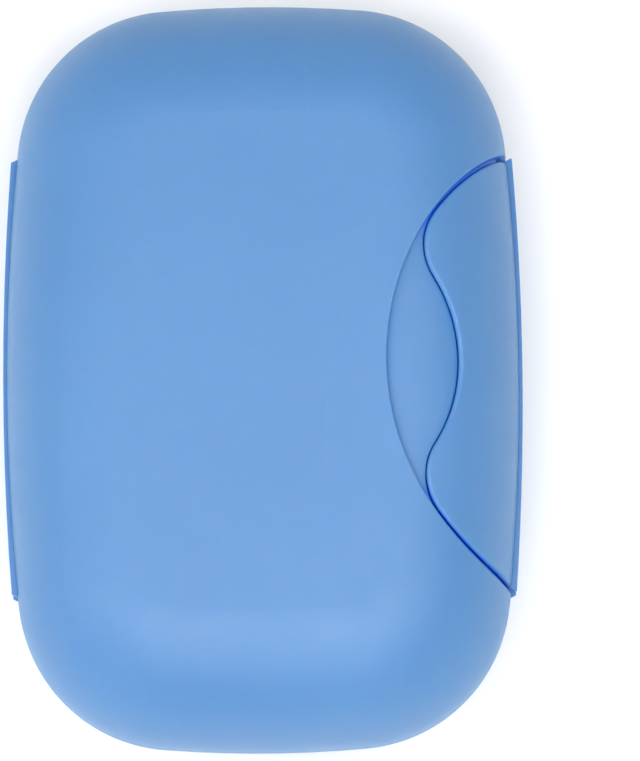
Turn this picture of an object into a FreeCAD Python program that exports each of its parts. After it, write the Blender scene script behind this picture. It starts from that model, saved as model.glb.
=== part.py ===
import FreeCAD, Part
import math
import os
import Sketcher

# Travel soap box: two rounded shells that close on each other, a finger latch and the folding
# strips that join them, all moulded as one piece of plastic with thin films at the folds.
# X runs across the box, from the hinge at minus X to the latch at plus X. Y runs along it and
# Z points up. The flat underside of the base lies on z = 0, with the origin in its middle.

SIZES = {
    # Closed case
    "case_length": 110.0,
    "case_height": 40.0,
    "shell_width": 75.2,
    "parting_gap": 0.2,
    # Plan of the shells: bowed sides and ends that meet in round corners
    "side_bow_radius": 330.0,
    "end_bow_radius": 178.0,
    "corner_ease": 4.6,
    # Height of the upright band at the rim, below the round shoulder
    "rim_band": 1.4,
    # Walls: the inside of the long sides is flatter than the outside
    "wall": 1.8,
    "side_wall": 2.45,
    "cavity_bow_radius": 640.0,
    # Folds on the long sides, two films and one strip on each
    "fold_spacing": 4.0,
    "fold_inset": 0.55,
    "film_thickness": 0.4,
    "film_width": 0.8,
    "strip_thickness": 0.8,
    "strip_length": 50.0,
    "strip_clearance": 0.3,
    # Ledges that carry the films
    "ledge_length": 65.5,
    "ledge_overhang": 0.45,
    "ledge_depth": 1.6,
    "ledge_height": 1.0,
    "ledge_end_slant": 0.8,
    "ledge_bow_radius": 427.0,
    # Round notch in the lid that the latch flap fills
    "notch_radius": 38.2,
    "notch_reach": 19.6,
    # Latch flap: outer arc, round lobes and the finger grip between them
    "flap_arc_step": 1.25,
    "flap_tip_gap": 0.1,
    "lobe_radius": 8.5,
    "grip_bow_radius": 23.0,
    "flap_edge_round": 0.5,
    # Sunk plate in the notch: floor of the finger scoop and of the slit round the flap
    "scoop_width": 10.45,
    "scoop_lap": 0.7,
    "scoop_foot": 5.8,
    "scoop_floor": 1.4,
    "scoop_gap": 0.15,
    "notch_edge_round": 0.2,
    # Ribs on the floor of the base that keep the soap off the water
    "rib_count": 5,
    "rib_radius": 1.2,
    "rib_length": 36.0,
    "rib_spacing": 12.0,
}

HALF_WIDTH = "(Sizes.shell_width / 2)"
SHELL_DEPTH = "((Sizes.case_height - Sizes.parting_gap) / 2)"
SHOULDER_RADIUS = f"({SHELL_DEPTH} - Sizes.rim_band)"
CORNER_RADIUS = f"({SHOULDER_RADIUS} + Sizes.corner_ease)"
BASE_RIM_Z = SHELL_DEPTH
LID_RIM_Z = "((Sizes.case_height + Sizes.parting_gap) / 2)"

# Folds: axis of the films, faces of the strip and of the recess that it folds into
FOLD_X = f"({HALF_WIDTH} - Sizes.fold_inset)"
LOW_FOLD_Z = "((Sizes.case_height - Sizes.fold_spacing) / 2)"
HIGH_FOLD_Z = "((Sizes.case_height + Sizes.fold_spacing) / 2)"
FILM_IN_X = f"({FOLD_X} - Sizes.film_thickness / 2)"
STRIP_OUT_X = f"({FOLD_X} + Sizes.film_thickness / 2)"
STRIP_IN_X = f"({STRIP_OUT_X} - Sizes.strip_thickness)"
STRIP_HEIGHT = "(Sizes.fold_spacing - Sizes.film_width)"
RECESS_IN_X = f"({STRIP_IN_X} - Sizes.strip_clearance)"
RECESS_HEIGHT = "(Sizes.fold_spacing + Sizes.film_width)"
RECESS_LENGTH = "(Sizes.strip_length + 2 * Sizes.strip_clearance)"

# Latch: centres of the arcs, all on the X axis
NOTCH_EDGE_X = f"({HALF_WIDTH} - Sizes.notch_reach)"
NOTCH_X = f"({NOTCH_EDGE_X} + Sizes.notch_radius)"
FLAP_ARC_RADIUS = "(Sizes.notch_radius - Sizes.flap_arc_step)"
FLAP_ARC_X = f"({NOTCH_EDGE_X} + Sizes.flap_tip_gap + {FLAP_ARC_RADIUS})"
GRIP_X = f"({NOTCH_EDGE_X} + Sizes.scoop_width - Sizes.grip_bow_radius)"
SCOOP_DEPTH = "(Sizes.wall - Sizes.scoop_lap)"

LEFT = FreeCAD.Rotation(FreeCAD.Vector(0, 0, 1), 180)
UPSIDE_DOWN = FreeCAD.Rotation(FreeCAD.Vector(1, 0, 0), 180)
ALONG_X = FreeCAD.Rotation(FreeCAD.Vector(0, 1, 0), 90)

doc = FreeCAD.newDocument("TravelSoapBox")
sheet = doc.addObject("Spreadsheet::Sheet", "Sizes")


def fill_sheet():
    """Write each size on its own row, with its name as the alias."""
    for row, (alias, number) in enumerate(SIZES.items(), start=1):
        sheet.set(f"A{row}", alias)
        sheet.set(f"B{row}", str(number))
        sheet.setAlias(f"B{row}", alias)
    doc.recompute()


def value(expression):
    """Number that an expression on the sheet stands for."""
    return float(sheet.evalExpression(expression))


def bind(item, **expressions):
    """Bind properties of an object to the sheet."""
    for name, expression in expressions.items():
        item.setExpression(name, expression)
    return item


def place(item, x=None, y=None, z=None, turn=None):
    """Bind the position of an object to the sheet, after an optional fixed turn."""
    if turn is not None:
        item.Placement = FreeCAD.Placement(FreeCAD.Vector(), turn)
    for axis, expression in (("x", x), ("y", y), ("z", z)):
        if expression is not None:
            item.setExpression(f"Placement.Base.{axis}", expression)
    return item


def cut(name, base, tool):
    """First shape without the second."""
    result = doc.addObject("Part::Cut", name)
    result.Base = base
    result.Tool = tool
    return result


def fuse(name, *shapes):
    """Shapes joined into one."""
    result = doc.addObject("Part::MultiFuse", name)
    result.Shapes = list(shapes)
    return result


def common(name, *shapes):
    """What all the shapes share."""
    result = doc.addObject("Part::MultiCommon", name)
    result.Shapes = list(shapes)
    return result


def new_sketch(name):
    """Body with an empty sketch on its XY plane."""
    body = doc.addObject("PartDesign::Body", name)
    plane = next(f for f in body.Origin.OriginFeatures if f.Role == "XY_Plane")
    sketch = body.newObject("Sketcher::SketchObject", f"{name}_outline")
    sketch.AttachmentSupport = [(plane, "")]
    sketch.MapMode = "FlatFace"
    return body, sketch


def add_arc(sketch, centre, radius, start, end):
    """Arc from one angle to another, against the clock."""
    circle = Part.Circle(FreeCAD.Vector(*centre, 0), FreeCAD.Vector(0, 0, 1), radius)
    return sketch.addGeometry(Part.ArcOfCircle(circle, start, end))


def add_line(sketch, start, end):
    """Straight line between two points."""
    return sketch.addGeometry(Part.LineSegment(FreeCAD.Vector(*start, 0), FreeCAD.Vector(*end, 0)))


def fix_radius(sketch, arc, expression):
    """Bind the radius of an arc."""
    index = sketch.addConstraint(Sketcher.Constraint("Radius", arc, value(expression)))
    sketch.setExpression(f"Constraints[{index}]", expression)


def fix_coordinate(sketch, kind, geometry, point, expression):
    """Bind the distance of a point from the origin along one axis, on the side where it lies."""
    number = value(expression)
    ends = (-1, 1, geometry, point)
    if number < 0:
        ends = (geometry, point, -1, 1)
        expression = f"-({expression})"
    index = sketch.addConstraint(Sketcher.Constraint(kind, *ends, abs(number)))
    sketch.setExpression(f"Constraints[{index}]", expression)


def centre_on_x(sketch, arc, expression):
    """Put the centre of an arc on the X axis."""
    sketch.addConstraint(Sketcher.Constraint("PointOnObject", arc, 3, -1))
    fix_coordinate(sketch, "DistanceX", arc, 3, expression)


def centre_on_y(sketch, arc, expression):
    """Put the centre of an arc on the Y axis."""
    sketch.addConstraint(Sketcher.Constraint("PointOnObject", arc, 3, -2))
    fix_coordinate(sketch, "DistanceY", arc, 3, expression)


def upper_meeting(centre_a, radius_a, centre_b, radius_b):
    """Upper point where two circles meet."""
    across = math.dist(centre_a, centre_b)
    along = (radius_a ** 2 - radius_b ** 2 + across ** 2) / (2 * across)
    aside = math.sqrt(radius_a ** 2 - along ** 2)
    unit = ((centre_b[0] - centre_a[0]) / across, (centre_b[1] - centre_a[1]) / across)
    points = [
        (
            centre_a[0] + along * unit[0] - turn * aside * unit[1],
            centre_a[1] + along * unit[1] + turn * aside * unit[0],
        )
        for turn in (1, -1)
    ]
    return max(points, key=lambda point: point[1])


def shell_outline(sketch, half_length, half_width, side_radius, end_radius, corner_radius):
    """Outline of eight tangent arcs: bowed sides and ends with a round corner between them."""
    side_centre = value(f"{half_width} - {side_radius}")
    end_centre = value(f"{half_length} - {end_radius}")
    side, end, corner = value(side_radius), value(end_radius), value(corner_radius)
    corner_x, corner_y = upper_meeting((side_centre, 0), side - corner, (0, end_centre), end - corner)
    low = math.atan2(corner_y, corner_x - side_centre)
    high = math.atan2(corner_y - end_centre, corner_x)
    turn = math.pi
    arcs = [
        add_arc(sketch, (side_centre, 0), side, -low, low),
        add_arc(sketch, (corner_x, corner_y), corner, low, high),
        add_arc(sketch, (0, end_centre), end, high, turn - high),
        add_arc(sketch, (-corner_x, corner_y), corner, turn - high, turn - low),
        add_arc(sketch, (-side_centre, 0), side, turn - low, turn + low),
        add_arc(sketch, (-corner_x, -corner_y), corner, turn + low, turn + high),
        add_arc(sketch, (0, -end_centre), end, turn + high, 2 * turn - high),
        add_arc(sketch, (corner_x, -corner_y), corner, 2 * turn - high, 2 * turn - low),
    ]
    for arc, following in zip(arcs, arcs[1:] + arcs[:1]):
        sketch.addConstraint(Sketcher.Constraint("Tangent", arc, 2, following, 1))
    right, corner_arc, far, left, near = arcs[0], arcs[1], arcs[2], arcs[4], arcs[6]
    fix_radius(sketch, right, side_radius)
    fix_radius(sketch, far, end_radius)
    fix_radius(sketch, corner_arc, corner_radius)
    for arc, twin in ((right, left), (far, near)):
        sketch.addConstraint(Sketcher.Constraint("Equal", arc, twin))
    for twin in arcs[3::2]:
        sketch.addConstraint(Sketcher.Constraint("Equal", corner_arc, twin))
    centre_on_x(sketch, right, f"({half_width} - {side_radius})")
    centre_on_x(sketch, left, f"({side_radius} - {half_width})")
    centre_on_y(sketch, far, f"({half_length} - {end_radius})")
    centre_on_y(sketch, near, f"({end_radius} - {half_length})")


def add_pad(body, sketch, length):
    """Pad of a sketch by a bound length."""
    pad = body.newObject("PartDesign::Pad", f"{body.Name}_pad")
    pad.Profile = sketch
    bind(pad, Length=length)
    doc.recompute()
    return pad


def round_edges(body, base, edges, radius):
    """Fillet of chosen edges of the feature before it."""
    fillet = body.newObject("PartDesign::Fillet", f"{body.Name}_round")
    fillet.Base = (base, [f"Edge{number}" for number in edges])
    bind(fillet, Radius=radius)
    doc.recompute()
    return body


def shell_form(name, end_inset, side_inset, side_radius):
    """Solid rounded form of a shell, from its rim upwards, set in from the outside by insets."""
    body, sketch = new_sketch(name)
    shell_outline(
        sketch,
        f"(Sizes.case_length / 2 - {end_inset})",
        f"({HALF_WIDTH} - {side_inset})",
        side_radius,
        f"(Sizes.end_bow_radius - {end_inset})",
        f"({CORNER_RADIUS} - {end_inset})",
    )
    pad = add_pad(body, sketch, f"{SHELL_DEPTH} - {end_inset}")
    top = pad.Shape.BoundBox.ZMax
    edges = [
        number
        for number, edge in enumerate(pad.Shape.Edges, start=1)
        if abs(edge.BoundBox.ZMin - top) < Part.Precision.confusion() * 100
    ]
    return round_edges(body, pad, edges, f"{SHOULDER_RADIUS} - {end_inset}")


def parallel_form(name, inset):
    """Form of a shell whose skin is everywhere the same distance inside the outer skin."""
    return shell_form(name, inset, inset, f"(Sizes.side_bow_radius - {inset})")


def cavity_form(name):
    """Inside of a shell, with flatter long sides that leave the wall thicker at the folds."""
    return shell_form(name, "Sizes.wall", "Sizes.side_wall", "Sizes.cavity_bow_radius")


def flap_prism(name, margin):
    """Upright prism of the latch flap in plan, grown by a margin all round."""
    body, sketch = new_sketch(name)
    arc_radius = f"({FLAP_ARC_RADIUS} + {margin})"
    lobe_radius = f"(Sizes.lobe_radius + {margin})"
    grip_radius = f"(Sizes.grip_bow_radius - {margin})"
    arc, lobe, grip = value(arc_radius), value(lobe_radius), value(grip_radius)
    arc_centre, grip_centre = (value(FLAP_ARC_X), 0), (value(GRIP_X), 0)
    lobe_x, lobe_y = upper_meeting(grip_centre, grip + lobe, arc_centre, arc - lobe)
    outer = math.atan2(lobe_y, lobe_x - arc_centre[0])
    inner = math.atan2(lobe_y, lobe_x - grip_centre[0])
    quarter = math.pi / 2
    top_arc = add_arc(sketch, arc_centre, arc, quarter, outer)
    top_lobe = add_arc(sketch, (lobe_x, lobe_y), lobe, outer, math.pi + inner)
    grip_arc = add_arc(sketch, grip_centre, grip, -inner, inner)
    low_lobe = add_arc(sketch, (lobe_x, -lobe_y), lobe, math.pi - inner, -outer)
    low_arc = add_arc(sketch, arc_centre, arc, -outer, -quarter)
    back = add_line(sketch, (arc_centre[0], -arc), (arc_centre[0], arc))
    for tangent in (
        (top_arc, 2, top_lobe, 1),
        (top_lobe, 2, grip_arc, 2),
        (grip_arc, 1, low_lobe, 1),
        (low_lobe, 2, low_arc, 1),
    ):
        sketch.addConstraint(Sketcher.Constraint("Tangent", *tangent))
    for corner in ((low_arc, 2, back, 1), (back, 2, top_arc, 1)):
        sketch.addConstraint(Sketcher.Constraint("Coincident", *corner))
    sketch.addConstraint(Sketcher.Constraint("Vertical", back))
    fix_coordinate(sketch, "DistanceX", back, 1, FLAP_ARC_X)
    for curve in (top_arc, low_arc):
        centre_on_x(sketch, curve, FLAP_ARC_X)
        fix_radius(sketch, curve, arc_radius)
    for curve in (top_lobe, low_lobe):
        fix_radius(sketch, curve, lobe_radius)
    centre_on_x(sketch, grip_arc, GRIP_X)
    fix_radius(sketch, grip_arc, grip_radius)
    add_pad(body, sketch, "2 * Sizes.case_height")
    return body


def ledge(name, bottom, turn=None):
    """Bowed ledge on a long side, with slanted ends."""
    body, sketch = new_sketch(name)
    outer_radius = "Sizes.ledge_bow_radius"
    inner_radius = "(Sizes.ledge_bow_radius - Sizes.ledge_depth)"
    centre = f"({HALF_WIDTH} + Sizes.ledge_overhang - Sizes.ledge_bow_radius)"
    root_end = "(Sizes.ledge_length / 2)"
    tip_end = "(Sizes.ledge_length / 2 - Sizes.ledge_end_slant)"
    outer, inner = value(outer_radius), value(inner_radius)
    tip_angle = math.asin(value(tip_end) / outer)
    root_angle = math.asin(value(root_end) / inner)
    middle = (value(centre), 0)

    def on_arc(radius, angle):
        return (middle[0] + radius * math.cos(angle), radius * math.sin(angle))

    front = add_arc(sketch, middle, outer, -tip_angle, tip_angle)
    root = add_arc(sketch, middle, inner, -root_angle, root_angle)
    far_end = add_line(sketch, on_arc(outer, tip_angle), on_arc(inner, root_angle))
    near_end = add_line(sketch, on_arc(inner, -root_angle), on_arc(outer, -tip_angle))
    for corner in ((front, 2, far_end, 1), (far_end, 2, root, 2), (root, 1, near_end, 1), (near_end, 2, front, 1)):
        sketch.addConstraint(Sketcher.Constraint("Coincident", *corner))
    for curve, radius, end in ((front, outer_radius, tip_end), (root, inner_radius, root_end)):
        centre_on_x(sketch, curve, centre)
        fix_radius(sketch, curve, radius)
        fix_coordinate(sketch, "DistanceY", curve, 2, end)
        fix_coordinate(sketch, "DistanceY", curve, 1, f"-{end}")
    add_pad(body, sketch, "Sizes.ledge_height")
    return place(body, z=bottom, turn=turn)


def side_box(name, side, inner_x, thickness, length, bottom, height):
    """Upright box on one long side, side being 1 for the latch and -1 for the hinge."""
    box = bind(doc.addObject("Part::Box", name), Length=thickness, Width=length, Height=height)
    left_x = inner_x if side > 0 else f"-({inner_x} + {thickness})"
    return place(box, x=left_x, y=f"-{length} / 2", z=bottom)


def strip(name, side):
    """Stiff strip between the two films of a long side."""
    bottom = f"{LOW_FOLD_Z} + Sizes.film_width / 2"
    return side_box(name, side, STRIP_IN_X, "Sizes.strip_thickness", "Sizes.strip_length", bottom, STRIP_HEIGHT)


def film(name, side, fold_z):
    """Thin film that bends at one fold."""
    bottom = f"{fold_z} - Sizes.film_width / 2"
    return side_box(
        name, side, FILM_IN_X, "Sizes.film_thickness", "Sizes.strip_length", bottom, "Sizes.film_width"
    )


def strip_recess(name, side):
    """Room that the shells leave for a strip and its films."""
    bottom = f"{LOW_FOLD_Z} - Sizes.film_width / 2"
    return side_box(name, side, RECESS_IN_X, HALF_WIDTH, RECESS_LENGTH, bottom, RECESS_HEIGHT)


def notch_cylinder(name, margin):
    """Upright cylinder of the round notch, grown by a margin."""
    cylinder = doc.addObject("Part::Cylinder", name)
    bind(cylinder, Radius=f"Sizes.notch_radius + {margin}", Height="2 * Sizes.case_height")
    return place(cylinder, x=NOTCH_X)


def shared_edges(shape, first, second):
    """Numbers of the edges of a shape that lie on the skins of both other shapes."""
    near = Part.Precision.confusion() * 100
    skins = [Part.Compound(item.Shape.Faces) for item in (first, second)]
    numbers = []
    for number, edge in enumerate(shape.Edges, start=1):
        middle = edge.valueAt((edge.FirstParameter + edge.LastParameter) / 2)
        if all(Part.Vertex(middle).distToShape(skin)[0] < near for skin in skins):
            numbers.append(number)
    return numbers


def softened(name, base, first, second, radius):
    """Shape with its edges between two skins rounded."""
    doc.recompute()
    body = doc.addObject("PartDesign::Body", name)
    body.BaseFeature = base
    doc.recompute()
    return round_edges(body, body.Tip, shared_edges(body.Tip.Shape, first, second), radius)


def scoop_plate(name):
    """Plate that laps onto the lid round the notch, sunk below its skin and clear of the flap.

    Its foot stays above the fold, where the lower corners of the flap swing inwards.
    """
    floor_top = place(parallel_form("floor_top", SCOOP_DEPTH), z=LID_RIM_Z)
    under_floor = place(parallel_form("under_floor", f"({SCOOP_DEPTH} + Sizes.scoop_floor)"), z=LID_RIM_Z)
    skin = cut("scoop_skin", floor_top, under_floor)
    reach = place(notch_cylinder("scoop_reach", "Sizes.scoop_floor"), z=f"{LID_RIM_Z} + Sizes.scoop_foot")
    blank = common("scoop_blank", skin, reach)
    return cut(name, blank, flap_prism("flap_room", "Sizes.scoop_gap"))


def base_shell():
    """Lower half: shell, soap ribs, and a ledge and recess on each long side."""
    outside = place(parallel_form("base_outside", "0"), z=BASE_RIM_Z, turn=UPSIDE_DOWN)
    cavity = place(cavity_form("base_cavity"), z=BASE_RIM_Z, turn=UPSIDE_DOWN)
    wall = cut("base_wall", outside, cavity)
    ledge_bottom = f"{LOW_FOLD_Z} - Sizes.film_width / 2 - Sizes.ledge_height"
    ledges = [ledge("base_latch_ledge", ledge_bottom), ledge("base_hinge_ledge", ledge_bottom, LEFT)]
    ribs = [soap_rib(number) for number in range(int(value("rib_count")))]
    full = fuse("base_full", wall, *ledges, *ribs)
    recesses = fuse("base_recesses", strip_recess("base_hinge_recess", -1), strip_recess("base_latch_recess", 1))
    return cut("base_shell", full, recesses)


def soap_rib(number):
    """Half round rib across the floor of the base."""
    rib = doc.addObject("Part::Cylinder", f"soap_rib_{number}")
    bind(rib, Radius="Sizes.rib_radius", Height="Sizes.rib_length")
    row = f"({number} - (Sizes.rib_count - 1) / 2) * Sizes.rib_spacing"
    return place(rib, x="-Sizes.rib_length / 2", y=row, z="Sizes.wall", turn=ALONG_X)


def lid_and_flap():
    """Upper half: the lid with its notch and scoop, and the flap cut from the same wall."""
    outside = place(parallel_form("lid_outside", "0"), z=LID_RIM_Z)
    cavity = place(cavity_form("lid_cavity"), z=LID_RIM_Z)
    wall = cut("lid_wall", outside, cavity)
    ledge_bottom = f"{HIGH_FOLD_Z} + Sizes.film_width / 2"

    notch = notch_cylinder("lid_notch", "0")
    ledged = fuse("lid_ledged", wall, ledge("lid_ledge", ledge_bottom, LEFT))
    plated = fuse("lid_plated", cut("lid_opened", ledged, notch), scoop_plate("scoop_plate"))
    recessed = cut("lid_recessed", plated, strip_recess("lid_recess", -1))
    lid = softened("lid_shell", recessed, outside, notch, "Sizes.notch_edge_round")

    prism = flap_prism("flap_plan", "0")
    skin = softened("flap_skin", common("flap_cut", wall, prism), outside, prism, "Sizes.flap_edge_round")
    flap_ledge = common("flap_ledge_end", ledge("flap_ledge", ledge_bottom), prism)
    flap_full = fuse("flap_full", skin, flap_ledge)
    flap = cut("latch_flap", flap_full, strip_recess("flap_recess", 1))
    return lid, flap


def export(nodes):
    """Check every object, then write one STEP file for each node."""
    doc.recompute()
    for item in doc.Objects:
        if "Invalid" in item.State or "Error" in item.State:
            raise RuntimeError(f"{item.Name} did not build: {item.State}")
    for node in nodes:
        node.Label = node.Name
        shape = node.Shape
        if shape.isNull() or not shape.isValid() or len(shape.Solids) != 1:
            raise RuntimeError(f"{node.Name} is not one valid solid")
        shape.exportStep(f"parts/{node.Name}.step")
        print(node.Name, round(shape.Volume, 2), shape.BoundBox)


os.makedirs("parts", exist_ok=True)
fill_sheet()
lid, flap = lid_and_flap()
export(
    [
        base_shell(),
        lid,
        flap,
        strip("hinge_strip", -1),
        strip("latch_strip", 1),
        film("base_hinge_film", -1, LOW_FOLD_Z),
        film("lid_hinge_film", -1, HIGH_FOLD_Z),
        film("base_latch_film", 1, LOW_FOLD_Z),
        film("flap_latch_film", 1, HIGH_FOLD_Z),
    ]
)
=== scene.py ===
import math

import bmesh
import bpy
from mathutils import Matrix, Vector


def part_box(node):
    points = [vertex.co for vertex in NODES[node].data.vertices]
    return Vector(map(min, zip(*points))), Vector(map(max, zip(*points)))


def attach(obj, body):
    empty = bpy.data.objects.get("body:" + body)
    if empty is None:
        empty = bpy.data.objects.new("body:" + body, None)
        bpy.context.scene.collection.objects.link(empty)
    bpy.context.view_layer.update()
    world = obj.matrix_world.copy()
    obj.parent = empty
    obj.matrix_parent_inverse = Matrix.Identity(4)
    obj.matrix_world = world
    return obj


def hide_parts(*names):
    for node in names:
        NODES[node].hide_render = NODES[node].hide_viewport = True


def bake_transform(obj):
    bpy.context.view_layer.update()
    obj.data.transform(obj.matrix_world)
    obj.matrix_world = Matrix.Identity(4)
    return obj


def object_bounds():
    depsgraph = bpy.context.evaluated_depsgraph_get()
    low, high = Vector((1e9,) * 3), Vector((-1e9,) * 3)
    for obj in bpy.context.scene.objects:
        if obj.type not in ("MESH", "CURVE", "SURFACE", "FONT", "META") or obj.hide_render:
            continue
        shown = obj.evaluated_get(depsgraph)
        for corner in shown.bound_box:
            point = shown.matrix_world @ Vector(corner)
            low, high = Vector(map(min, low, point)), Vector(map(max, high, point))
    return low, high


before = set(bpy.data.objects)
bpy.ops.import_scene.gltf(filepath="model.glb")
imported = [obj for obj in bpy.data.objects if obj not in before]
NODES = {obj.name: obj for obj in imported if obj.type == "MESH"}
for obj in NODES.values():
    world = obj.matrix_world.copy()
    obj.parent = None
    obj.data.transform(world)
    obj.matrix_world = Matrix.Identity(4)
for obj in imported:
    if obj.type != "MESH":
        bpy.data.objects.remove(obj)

# A closed travel soap box of satin blue polypropylene, seen from above on a pale floor.
# Metres; X runs across the box from the hinge to the latch, Y along it, Z up.

CAD_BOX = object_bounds()
CENTRE = (CAD_BOX[0] + CAD_BOX[1]) / 2

# Solids that are shown as they are
SHELL_NODES = ("base_shell", "lid_shell", "latch_flap")

# Stiff strips with the body that each rides on, and the moulded rounding along their edges
STRIPS = (
    ("hinge_strip", "hinge"),
    ("latch_strip", "latch"),
)
STRIP_EDGE_ROUND = 0.00015
STRIP_EDGE_STEPS = 3
ROUND_PROFILE = 0.5

# Living hinges with the two bodies that each joins, the share of the thickness that the middle
# loses, and the points of the mesh
FILMS = (
    ("base_hinge_film", "base", "hinge"),
    ("lid_hinge_film", "hinge", "lid"),
    ("base_latch_film", "base", "latch"),
    ("flap_latch_film", "latch", "flap"),
)
FILM_THINNING_SHARE = 0.35
FILM_ROWS = 13
FILM_COLUMNS = 26

# Camera of the photograph: a long lens, high above the near end of the box
IMAGE_HEIGHT = 761
SENSOR = 36.0
FOCAL_PIXELS = 7144.75
CAMERA_ELEVATION = math.radians(81.66)
CAMERA_ROLL = math.radians(-0.453)
CAMERA_DISTANCE = 1.05
CAMERA_RIGHT = 0.008368
CAMERA_UP = -0.000273
CLIP_NEAR = 0.05
CLIP_FAR = 20.0

# Plastic: two shades that it drifts between, on the shells and on the thin films
BLUE = (0.071, 0.214, 0.448, 1.0)
BLUE_LIGHT = (0.079, 0.226, 0.467, 1.0)
FILM_BLUE = (0.074, 0.220, 0.442, 1.0)
FILM_BLUE_LIGHT = (0.084, 0.234, 0.462, 1.0)
SHELL_ROUGHNESS = 0.5
FILM_ROUGHNESS = 0.32
ROUGHNESS_SWING = 0.035
REFRACTION = 1.49
SPECULAR_LEVEL = 0.58
SCATTER_WEIGHT = 1.0
SCATTER_COLOURS = (0.12, 0.45, 1.0)
SCATTER_REACH = 0.001

# Detail of the plastic: features to the metre, how strongly they show, and the band of the
# pattern's values over which they come in
NOISE_BAND = (0.3, 0.7)
DRIFT_SCALE = 28.0
GLOSS_SCALE = 210.0
GLOSS_DETAIL = 3.0
GRAIN_SCALE = 2400.0
GRAIN_STRENGTH = 0.12
GRAIN_HEIGHT = 0.00003
SCUFF_SCALE = (420.0, 34.0, 90.0)
SCUFF_SLANT = (0.0, 0.0, 0.5)
SCUFF_DETAIL = 4.0
SCUFF_BAND = (0.66, 0.84)
SCUFF_STRENGTH = 0.03
SCUFF_BLUE = (0.55, 0.68, 0.82, 1.0)
SPECK_SCALE = 150.0
SPECK_BAND = (0.012, 0.024)
SPECK_STRENGTH = 0.45
SPECK_BLUE = (0.020, 0.070, 0.180, 1.0)

# Edges: the radius that softens them, and the broken wear where they turn
EDGE_ROUND = 0.0002
EDGE_SAMPLES = 6
EDGE_TURN_BAND = (0.98, 0.8)
EDGE_WEAR_SCALE = 700.0
EDGE_WEAR_BAND = (0.35, 0.65)
EDGE_WEAR_LEAST = 0.02
EDGE_WEAR_MOST = 0.14

# Painted shade: the blue is darkened in hollows and turned a pure, deep blue in narrow gaps within
# this reach, standing in for light that bounces from blue to blue
GAP_REACH = 0.0014
GAP_SAMPLES = 8
PAINTED_SHADE_BAND = (0.5, 0.95)
PAINTED_SHADE_BLUE = (0.046, 0.204, 0.454, 1.0)
PAINTED_GAP_BAND = (0.2, 0.55)
PAINTED_GAP_BLUE = (0.0, 0.135, 0.850, 1.0)

# Floor, a hair's breadth below the underside so that they share no plane
FLOOR_GAP = 0.00002
FLOOR_HALF = 4.0
FLOOR_COLOUR = (0.94, 0.94, 0.94, 1.0)
FLOOR_ROUGHNESS = 0.9
FLOOR_SPECULAR = 0.1

# Light: even white surroundings, and soft panels, each with its place, the point that it looks
# at, its width and depth, and its power in watts
WHITE = (1.0, 1.0, 1.0, 1.0)
SURROUNDINGS = 0.55
SOFTBOX = (0.36, 0.36)
PANELS = (
    ("overhead", (-0.03, -0.12, 0.55), (-0.03, -0.12, 0.0), (0.6, 0.3), 2.6),
    ("front_softbox", (0.0, -0.64, 0.8), CENTRE, SOFTBOX, 2.1),
    ("left_softbox", (-0.64, 0.0, 0.8), CENTRE, SOFTBOX, 1.0),
    ("right_softbox", (0.5, 0.0, 0.8), CENTRE, SOFTBOX, 1.1),
    ("left_key", (-0.8, -0.1, 0.5), CENTRE, (0.2, 0.2), 1.3),
)


def add_node(tree, kind, inputs=None, **settings):
    """New node with its settings and the values of its inputs."""
    node = tree.nodes.new(kind)
    for name, setting in settings.items():
        setattr(node, name, setting)
    sockets = {socket.identifier: socket for socket in node.inputs}
    for name, number in (inputs or {}).items():
        sockets[name].default_value = number
    return node


def new_shader(name):
    """Material with an empty principled shader, and its tree."""
    material = bpy.data.materials.new(name)
    material.use_nodes = True
    tree = material.node_tree
    tree.nodes.clear()
    shader = add_node(tree, "ShaderNodeBsdfPrincipled")
    output = add_node(tree, "ShaderNodeOutputMaterial")
    tree.links.new(shader.outputs["BSDF"], output.inputs["Surface"])
    return material, tree, shader


def noise(tree, place, scale, detail=2.0):
    """Noise over the surface, scale being features to the metre."""
    texture = add_node(tree, "ShaderNodeTexNoise", {"Scale": scale, "Detail": detail})
    tree.links.new(place, texture.inputs["Vector"])
    return texture.outputs["Fac"]


def spread(tree, source, band, out_low, out_high):
    """Values of a band stretched to another range, and held at its ends."""
    low, high = band
    limits = {"From Min": low, "From Max": high, "To Min": out_low, "To Max": out_high}
    ranged = add_node(tree, "ShaderNodeMapRange", limits)
    tree.links.new(source, ranged.inputs["Value"])
    return ranged.outputs["Result"]


def arithmetic(tree, operation, first, second):
    """Sum or product of two values."""
    node = add_node(tree, "ShaderNodeMath", operation=operation)
    tree.links.new(first, node.inputs[0])
    tree.links.new(second, node.inputs[1])
    return node.outputs[0]


def tinted(tree, under, tint, mask):
    """Colour with a tint over it where the mask says."""
    mix = add_node(tree, "ShaderNodeMix", {"B_Color": tint}, data_type="RGBA")
    tree.links.new(mask, mix.inputs[0])
    tree.links.new(under, mix.inputs[6])
    return mix.outputs[2]


def drifting_colour(tree, place, dark, light):
    """Colour that drifts slowly between two shades, as the melt flowed."""
    ramp = add_node(tree, "ShaderNodeValToRGB")
    ramp.color_ramp.elements[0].color = dark
    ramp.color_ramp.elements[1].color = light
    drift = spread(tree, noise(tree, place, DRIFT_SCALE), NOISE_BAND, 0.0, 1.0)
    tree.links.new(drift, ramp.inputs["Fac"])
    return ramp.outputs["Color"]


def scuff_mask(tree, place):
    """Faint rubbed streaks, about 2 mm wide and 3 cm long, slanting over the box."""
    stretch = add_node(tree, "ShaderNodeMapping", {"Rotation": SCUFF_SLANT, "Scale": SCUFF_SCALE})
    tree.links.new(place, stretch.inputs["Vector"])
    streaks = noise(tree, stretch.outputs["Vector"], 1.0, SCUFF_DETAIL)
    return spread(tree, streaks, SCUFF_BAND, 0.0, SCUFF_STRENGTH)


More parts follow.
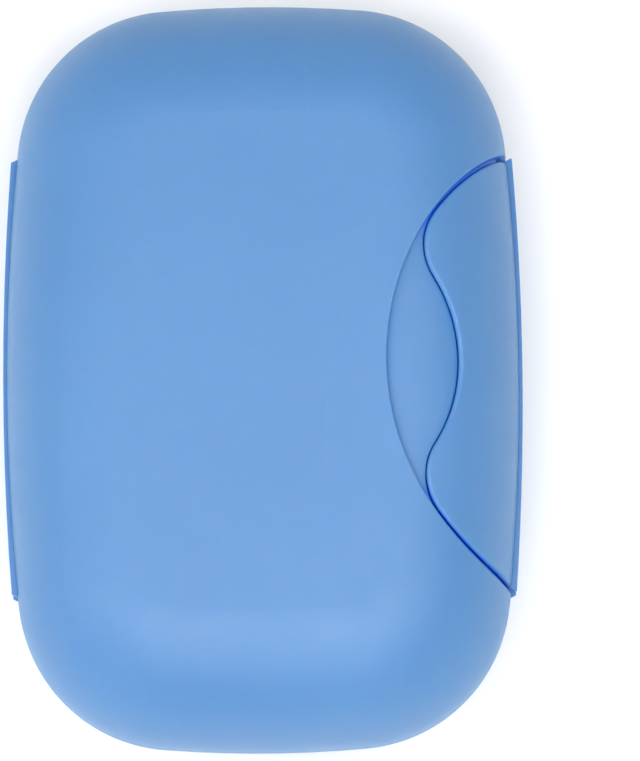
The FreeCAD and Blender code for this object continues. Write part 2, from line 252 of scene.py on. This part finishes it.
def edge_mask(tree, place, soft_normal):
    """Broken wear where the surface turns sharply."""
    facing = add_node(tree, "ShaderNodeVectorMath", operation="DOT_PRODUCT")
    tree.links.new(soft_normal, facing.inputs[0])
    tree.links.new(add_node(tree, "ShaderNodeNewGeometry").outputs["Normal"], facing.inputs[1])
    turned = spread(tree, facing.outputs["Value"], EDGE_TURN_BAND, 0.0, 1.0)
    patches = noise(tree, place, EDGE_WEAR_SCALE)
    wear = spread(tree, patches, EDGE_WEAR_BAND, EDGE_WEAR_LEAST, EDGE_WEAR_MOST)
    return arithmetic(tree, "MULTIPLY", turned, wear)


def speck_mask(tree, place):
    """Scattered dark specks, some tenths of a millimetre across."""
    cells = add_node(tree, "ShaderNodeTexVoronoi", {"Scale": SPECK_SCALE})
    tree.links.new(place, cells.inputs["Vector"])
    return spread(tree, cells.outputs["Distance"], SPECK_BAND, SPECK_STRENGTH, 0.0)


def painted_shade(tree, colour):
    """Painted shade: colour that turns darker, and then to a pure, deep blue, the less a place is open
    to the light.
    """
    sky = add_node(tree, "ShaderNodeAmbientOcclusion", {"Distance": GAP_REACH}, samples=GAP_SAMPLES)
    openness = sky.outputs["AO"]
    # Painted shade: a darker blue where the surroundings close in, and a deep navy in narrow gaps
    colour = tinted(tree, colour, PAINTED_SHADE_BLUE, spread(tree, openness, PAINTED_SHADE_BAND, 1.0, 0.0))
    return tinted(tree, colour, PAINTED_GAP_BLUE, spread(tree, openness, PAINTED_GAP_BAND, 1.0, 0.0))


def polypropylene(name, dark, light, roughness):
    """Satin moulded plastic with colour drift, fine grain, scuffs, specks, rubbed edges and painted
    shade in hollows and gaps.
    """
    material, tree, shader = new_shader(name)
    place = add_node(tree, "ShaderNodeTexCoord").outputs["Object"]
    soft_edges = add_node(tree, "ShaderNodeBevel", {"Radius": EDGE_ROUND}, samples=EDGE_SAMPLES)
    soft_normal = soft_edges.outputs["Normal"]
    scuffs = scuff_mask(tree, place)

    colour = drifting_colour(tree, place, dark, light)
    colour = tinted(tree, colour, SCUFF_BLUE, scuffs)
    colour = tinted(tree, colour, SCUFF_BLUE, edge_mask(tree, place, soft_normal))
    colour = tinted(tree, colour, SPECK_BLUE, speck_mask(tree, place))
    # Painted shade: darker and deep navy colour in hollows and narrow gaps
    colour = painted_shade(tree, colour)
    tree.links.new(colour, shader.inputs["Base Color"])

    patches = noise(tree, place, GLOSS_SCALE, GLOSS_DETAIL)
    gloss = spread(tree, patches, NOISE_BAND, roughness - ROUGHNESS_SWING, roughness + ROUGHNESS_SWING)
    tree.links.new(arithmetic(tree, "ADD", gloss, scuffs), shader.inputs["Roughness"])

    bump = add_node(tree, "ShaderNodeBump", {"Strength": GRAIN_STRENGTH, "Distance": GRAIN_HEIGHT})
    tree.links.new(noise(tree, place, GRAIN_SCALE), bump.inputs["Height"])
    tree.links.new(soft_normal, bump.inputs["Normal"])
    tree.links.new(bump.outputs["Normal"], shader.inputs["Normal"])

    shader.inputs["IOR"].default_value = REFRACTION
    shader.inputs["Specular IOR Level"].default_value = SPECULAR_LEVEL
    shader.inputs["Subsurface Weight"].default_value = SCATTER_WEIGHT
    shader.inputs["Subsurface Radius"].default_value = SCATTER_COLOURS
    shader.inputs["Subsurface Scale"].default_value = SCATTER_REACH
    return material


def new_object(name, mesh):
    """Object in the scene made of a finished mesh."""
    data = bpy.data.meshes.new(name)
    mesh.to_mesh(data)
    mesh.free()
    made = bpy.data.objects.new(name, data)
    bpy.context.scene.collection.objects.link(made)
    return made


def strip_mesh(low, high):
    """Closed slab between two corners, with all its edges rounded."""
    mesh = bmesh.new()
    slab = Matrix.Translation((low + high) / 2) @ Matrix.Diagonal((*(high - low), 1.0))
    bmesh.ops.create_cube(mesh, size=1.0, matrix=slab)
    bmesh.ops.bevel(
        mesh,
        geom=mesh.edges[:],
        offset=STRIP_EDGE_ROUND,
        segments=STRIP_EDGE_STEPS,
        profile=ROUND_PROFILE,
        affect="EDGES",
    )
    return mesh


def rounded_strip(node, body):
    """Stiff strip between two films, in the place of its solid."""
    low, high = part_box(node)
    piece = new_object(f"{node}_rounded", strip_mesh(low, high))
    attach(piece, body)
    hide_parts(node)
    return piece


def film_mesh(low, high):
    """Closed film between two corners, thinned along its middle."""
    middle_x = (low.x + high.x) / 2
    half_thickness = (high.x - low.x) / 2
    mesh = bmesh.new()
    rings = []
    for column in range(FILM_COLUMNS + 1):
        y = low.y + (high.y - low.y) * column / FILM_COLUMNS
        front = []
        back = []
        for row in range(FILM_ROWS):
            along = row / (FILM_ROWS - 1)
            z = low.z + (high.z - low.z) * along
            thinning = 1.0 - FILM_THINNING_SHARE * math.sin(math.pi * along) ** 2
            front.append(mesh.verts.new((middle_x + half_thickness * thinning, y, z)))
            back.append(mesh.verts.new((middle_x - half_thickness * thinning, y, z)))
        rings.append(front + back[::-1])
    count = len(rings[0])
    for ring, following in zip(rings, rings[1:]):
        for index in range(count):
            other = (index + 1) % count
            mesh.faces.new((ring[index], ring[other], following[other], following[index]))
    mesh.faces.new(rings[0][::-1])
    mesh.faces.new(rings[-1])
    bmesh.ops.recalc_face_normals(mesh, faces=mesh.faces)
    return mesh


def bend_film(node):
    """Living hinge in the place of its solid, thinned along its middle."""
    low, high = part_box(node)
    piece = new_object(f"{node}_bent", film_mesh(low, high))
    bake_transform(piece)
    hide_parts(node)
    return piece


def make_floor():
    """Pale floor under the box."""
    mesh = bmesh.new()
    bmesh.ops.create_grid(mesh, x_segments=2, y_segments=2, size=FLOOR_HALF)
    floor = new_object("floor", mesh)
    floor.location = (0.0, 0.0, CAD_BOX[0].z - FLOOR_GAP)
    material, tree, shader = new_shader("pale_floor")
    shader.inputs["Base Color"].default_value = FLOOR_COLOUR
    shader.inputs["Roughness"].default_value = FLOOR_ROUGHNESS
    shader.inputs["Specular IOR Level"].default_value = FLOOR_SPECULAR
    floor.data.materials.append(material)


def area_light(name, place, aim, size, power):
    """Soft light panel that looks at a point; its size is its width and its depth."""
    light = bpy.data.lights.new(name, "AREA")
    light.shape = "RECTANGLE"
    light.size, light.size_y = size
    light.energy = power
    lamp = bpy.data.objects.new(name, light)
    lamp.location = place
    direction = Vector(aim) - Vector(place)
    lamp.rotation_euler = direction.to_track_quat("-Z", "Y").to_euler()
    lamp.visible_camera = False
    bpy.context.scene.collection.objects.link(lamp)


def make_light():
    """Even white surroundings and the soft panels."""
    world = bpy.data.worlds.new("studio")
    world.use_nodes = True
    background = world.node_tree.nodes["Background"]
    background.inputs["Color"].default_value = WHITE
    background.inputs["Strength"].default_value = SURROUNDINGS
    bpy.context.scene.world = world
    for name, place, aim, size, power in PANELS:
        area_light(name, place, aim, size, power)


def make_camera():
    """Camera at the place and angle of the photograph."""
    data = bpy.data.cameras.new("camera")
    data.sensor_width = SENSOR
    data.lens = FOCAL_PIXELS * SENSOR / IMAGE_HEIGHT
    data.clip_start = CLIP_NEAR
    data.clip_end = CLIP_FAR
    camera = bpy.data.objects.new("camera", data)
    tilt = math.pi / 2 - CAMERA_ELEVATION
    level = Matrix.Rotation(tilt, 4, "X")
    offset = level @ Vector((CAMERA_RIGHT, CAMERA_UP, CAMERA_DISTANCE))
    turn = level @ Matrix.Rotation(CAMERA_ROLL, 4, "Z")
    camera.matrix_world = Matrix.Translation(Vector((0.0, 0.0, CENTRE.z)) + offset) @ turn
    bpy.context.scene.collection.objects.link(camera)
    bpy.context.scene.camera = camera


def dress():
    """Materials on the shells and the flap, the rounded strips, and the thinned films."""
    plastic = polypropylene("polypropylene", BLUE, BLUE_LIGHT, SHELL_ROUGHNESS)
    film_plastic = polypropylene("polypropylene_film", FILM_BLUE, FILM_BLUE_LIGHT, FILM_ROUGHNESS)
    for name in SHELL_NODES:
        NODES[name].data.materials.clear()
        NODES[name].data.materials.append(plastic)
    for node, body in STRIPS:
        rounded_strip(node, body).data.materials.append(plastic)
    for node, body_a, body_b in FILMS:
        bend_film(node).data.materials.append(film_plastic)


dress()
make_floor()
make_light()
make_camera()
bpy.context.scene.view_settings.view_transform = "Standard"
